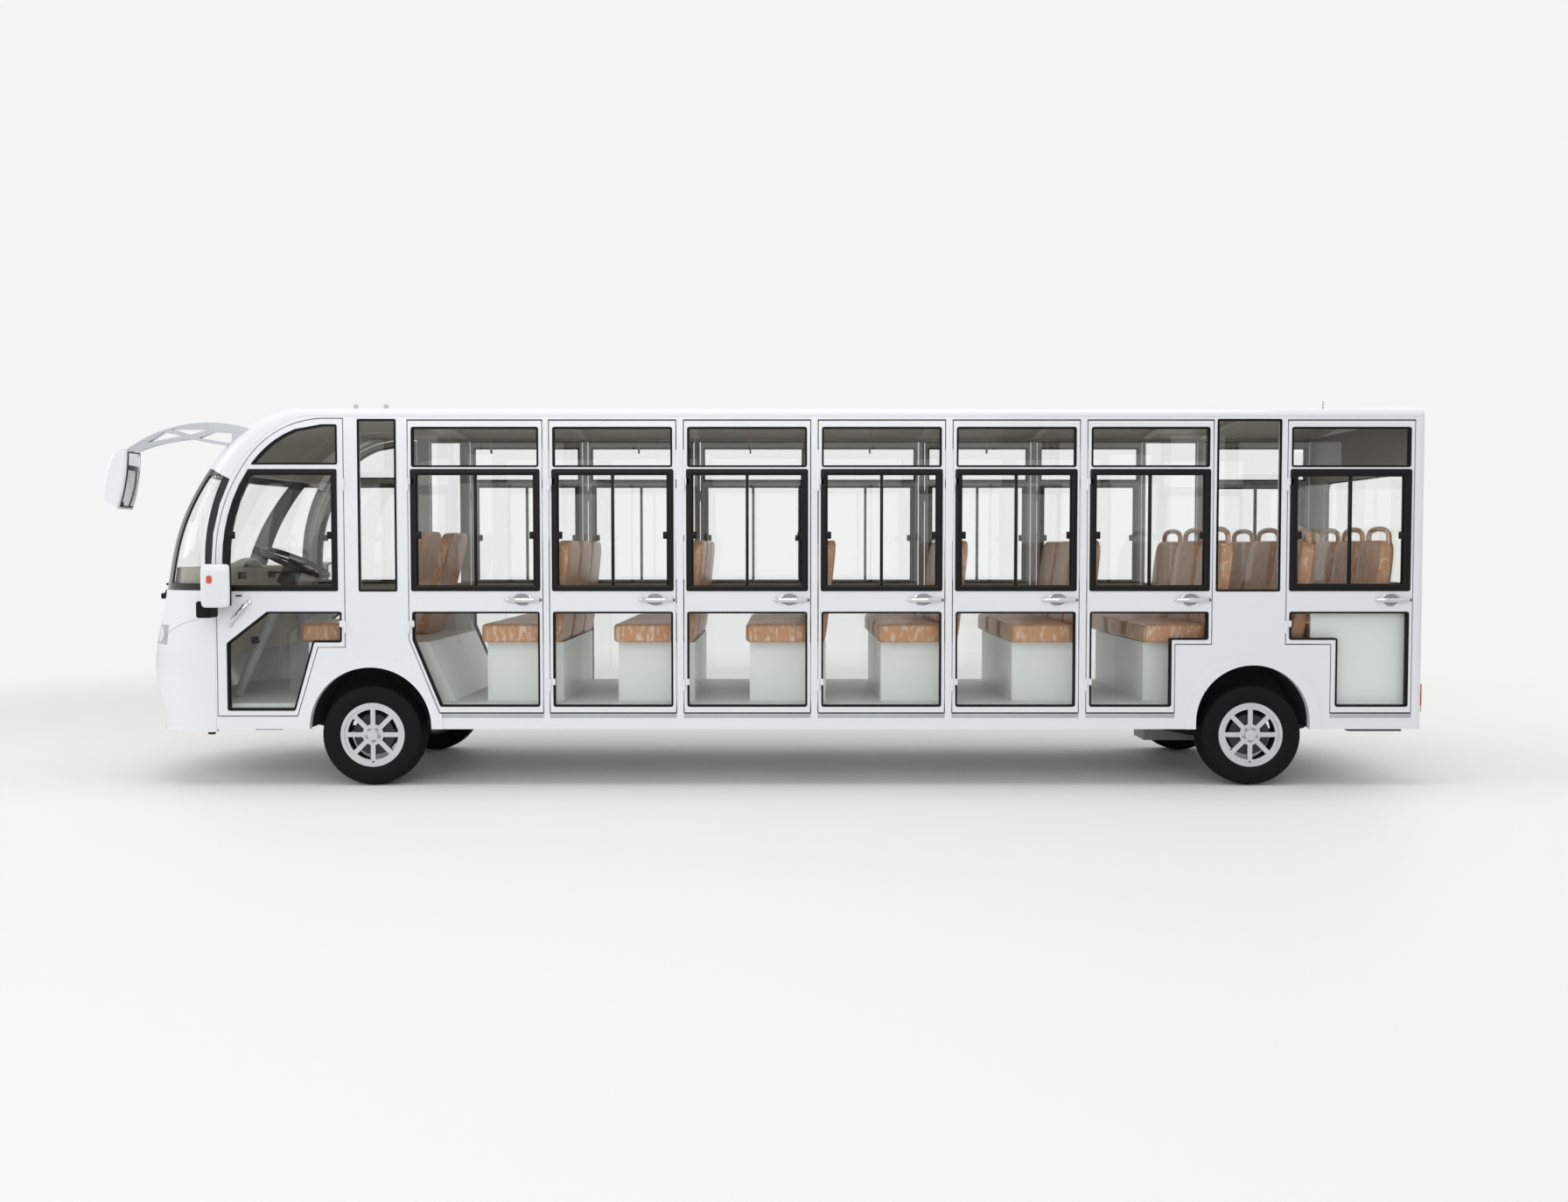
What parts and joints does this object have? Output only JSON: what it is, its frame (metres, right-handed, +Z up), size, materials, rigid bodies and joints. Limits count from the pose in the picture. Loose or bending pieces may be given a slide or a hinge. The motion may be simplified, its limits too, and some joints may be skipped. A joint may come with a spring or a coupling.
{
  "type": "electric sightseeing bus",
  "caption": "Enclosed low-speed shuttle bus with glazed hinged side doors, bench rows, wrap-round windscreen and steered front wheels.",
  "frame": {"origin": "on the ground, under the middle of the whole length and width", "axes": "+X to the rear along the bus, +Y to the driver's right, +Z up; the doors seen in the picture are at -Y"},
  "size_m": [7.253, 1.9, 2.1232],
  "materials": {
    "body_white": "gloss white",
    "glazing": "clear, faintly grey-green",
    "lamp_clear": "clear lens",
    "lamp_red": "moulded red lens",
    "chassis_black": "satin black",
    "floor_grey": "light grey sheet",
    "liner_black": "moulded, dull",
    "cast_steel": "cast, dull",
    "motor_grey": "cast, satin",
    "seat_shell": "pale grey-green",
    "seat_tan": "tan leatherette",
    "battery_case": "moulded",
    "dash_grey": "moulded, grained",
    "wheel_silver": "painted silver",
    "tyre_rubber": "dull",
    "steering_black": "soft grained",
    "mirror_arm_silver": "painted silver-white"
  },
  "bodies": {
    "root": {"nose": "body_white", "windscreen": "glazing", "roof": "body_white", "rear_panel": "body_white", "rear_window": "glazing", "side_frame_left": "body_white", "side_frame_right": "body_white", "fixed_side_glass": "glazing", "headlamps": "lamp_clear", "tail_lamps": "lamp_red", "wheelhouses": "liner_black", "floor": "floor_grey", "chassis_frame": "chassis_black", "lashing_blocks": "chassis_black", "leaf_springs": "chassis_black", "front_axle": "cast_steel", "rear_axle": "cast_steel", "drive_motor": "motor_grey", "seat_boxes": "seat_shell", "driver_seat_base": "seat_shell", "seat_cushions": "seat_tan", "seat_backs": "seat_tan", "side_boards": "seat_shell", "battery_pack": "battery_case", "dashboard": "dash_grey", "steering_column": "steering_black", "roof_mirrors": "mirror_arm_silver"},
    "door_left_1": {"door_left_1": "body_white", "wing_mirror_left": "body_white"},
    "door_left_2": {"door_left_2": "body_white"},
    "door_left_3": {"door_left_3": "body_white"},
    "door_left_4": {"door_left_4": "body_white"},
    "door_left_5": {"door_left_5": "body_white"},
    "door_left_6": {"door_left_6": "body_white"},
    "door_left_7": {"door_left_7": "body_white"},
    "door_left_8": {"door_left_8": "body_white"},
    "door_right_1": {"door_right_1": "body_white", "wing_mirror_right": "body_white"},
    "door_right_2": {"door_right_2": "body_white"},
    "door_right_3": {"door_right_3": "body_white"},
    "door_right_4": {"door_right_4": "body_white"},
    "door_right_5": {"door_right_5": "body_white"},
    "door_right_6": {"door_right_6": "body_white"},
    "door_right_7": {"door_right_7": "body_white"},
    "door_right_8": {"door_right_8": "body_white"},
    "knuckle_left": {"knuckle_left": "cast_steel"},
    "knuckle_right": {"knuckle_right": "cast_steel"},
    "wheel_front_left": {"tyre_front_left": "tyre_rubber", "rim_front_left": "wheel_silver"},
    "wheel_front_right": {"tyre_front_right": "tyre_rubber", "rim_front_right": "wheel_silver"},
    "wheel_rear_left": {"tyre_rear_left": "tyre_rubber", "rim_rear_left": "wheel_silver"},
    "wheel_rear_right": {"tyre_rear_right": "tyre_rubber", "rim_rear_right": "wheel_silver"},
    "steering_wheel": {"steering_wheel": "steering_black"}
  },
  "joints": [
    {"name": "left_door_1", "type": "hinge", "parent": "root", "child": "door_left_1", "pos_m": [-2.3215, -0.758, 1.1], "axis": [0, 0, 1], "range_deg": [0, 80]},
    {"name": "left_door_2", "type": "hinge", "parent": "root", "child": "door_left_2", "pos_m": [-1.9705, -0.758, 1.1], "axis": [0, 0, -1], "range_deg": [0, 80]},
    {"name": "left_door_3", "type": "hinge", "parent": "root", "child": "door_left_3", "pos_m": [-1.1975, -0.758, 1.1], "axis": [0, 0, -1], "range_deg": [0, 80]},
    {"name": "left_door_4", "type": "hinge", "parent": "root", "child": "door_left_4", "pos_m": [-0.4605, -0.758, 1.1], "axis": [0, 0, -1], "range_deg": [0, 80]},
    {"name": "left_door_5", "type": "hinge", "parent": "root", "child": "door_left_5", "pos_m": [0.2765, -0.758, 1.1], "axis": [0, 0, -1], "range_deg": [0, 80]},
    {"name": "left_door_6", "type": "hinge", "parent": "root", "child": "door_left_6", "pos_m": [1.0135, -0.758, 1.1], "axis": [0, 0, -1], "range_deg": [0, 80]},
    {"name": "left_door_7", "type": "hinge", "parent": "root", "child": "door_left_7", "pos_m": [1.7505, -0.758, 1.1], "axis": [0, 0, -1], "range_deg": [0, 80]},
    {"name": "left_door_8", "type": "hinge", "parent": "root", "child": "door_left_8", "pos_m": [2.8455, -0.758, 1.1], "axis": [0, 0, -1], "range_deg": [0, 80]},
    {"name": "right_door_1", "type": "hinge", "parent": "root", "child": "door_right_1", "pos_m": [-2.3215, 0.758, 1.1], "axis": [0, 0, -1], "range_deg": [0, 80]},
    {"name": "right_door_2", "type": "hinge", "parent": "root", "child": "door_right_2", "pos_m": [-1.9705, 0.758, 1.1], "axis": [0, 0, 1], "range_deg": [0, 80]},
    {"name": "right_door_3", "type": "hinge", "parent": "root", "child": "door_right_3", "pos_m": [-1.1975, 0.758, 1.1], "axis": [0, 0, 1], "range_deg": [0, 80]},
    {"name": "right_door_4", "type": "hinge", "parent": "root", "child": "door_right_4", "pos_m": [-0.4605, 0.758, 1.1], "axis": [0, 0, 1], "range_deg": [0, 80]},
    {"name": "right_door_5", "type": "hinge", "parent": "root", "child": "door_right_5", "pos_m": [0.2765, 0.758, 1.1], "axis": [0, 0, 1], "range_deg": [0, 80]},
    {"name": "right_door_6", "type": "hinge", "parent": "root", "child": "door_right_6", "pos_m": [1.0135, 0.758, 1.1], "axis": [0, 0, 1], "range_deg": [0, 80]},
    {"name": "right_door_7", "type": "hinge", "parent": "root", "child": "door_right_7", "pos_m": [1.7505, 0.758, 1.1], "axis": [0, 0, 1], "range_deg": [0, 80]},
    {"name": "right_door_8", "type": "hinge", "parent": "root", "child": "door_right_8", "pos_m": [2.8455, 0.758, 1.1], "axis": [0, 0, 1], "range_deg": [0, 80]},
    {"name": "left_steer", "type": "hinge", "parent": "root", "child": "knuckle_left", "pos_m": [-2.1855, -0.612, 0.2805], "axis": [0, 0, 1], "range_deg": [-30, 30]},
    {"name": "right_steer", "type": "hinge", "parent": "root", "child": "knuckle_right", "pos_m": [-2.1855, 0.612, 0.2805], "axis": [0, 0, 1], "range_deg": [-30, 30]},
    {"name": "front_left_roll", "type": "hinge", "parent": "knuckle_left", "child": "wheel_front_left", "pos_m": [-2.1855, -0.652, 0.2805], "axis": [0, 1, 0], "continuous": true},
    {"name": "front_right_roll", "type": "hinge", "parent": "knuckle_right", "child": "wheel_front_right", "pos_m": [-2.1855, 0.652, 0.2805], "axis": [0, 1, 0], "continuous": true},
    {"name": "rear_left_roll", "type": "hinge", "parent": "root", "child": "wheel_rear_left", "pos_m": [2.6695, -0.652, 0.2805], "axis": [0, 1, 0], "continuous": true},
    {"name": "rear_right_roll", "type": "hinge", "parent": "root", "child": "wheel_rear_right", "pos_m": [2.6695, 0.652, 0.2805], "axis": [0, 1, 0], "continuous": true},
    {"name": "steering_wheel_turn", "type": "hinge", "parent": "root", "child": "steering_wheel", "pos_m": [-2.7355, -0.35, 1.23], "axis": [0.4067, 0, 0.9135], "range_deg": [-540, 540]}
  ],
  "couplings": [
    {"joint": "right_steer", "follows": "left_steer", "ratio": 1},
    {"joint": "steering_wheel_turn", "follows": "left_steer", "ratio": 18}
  ]
}
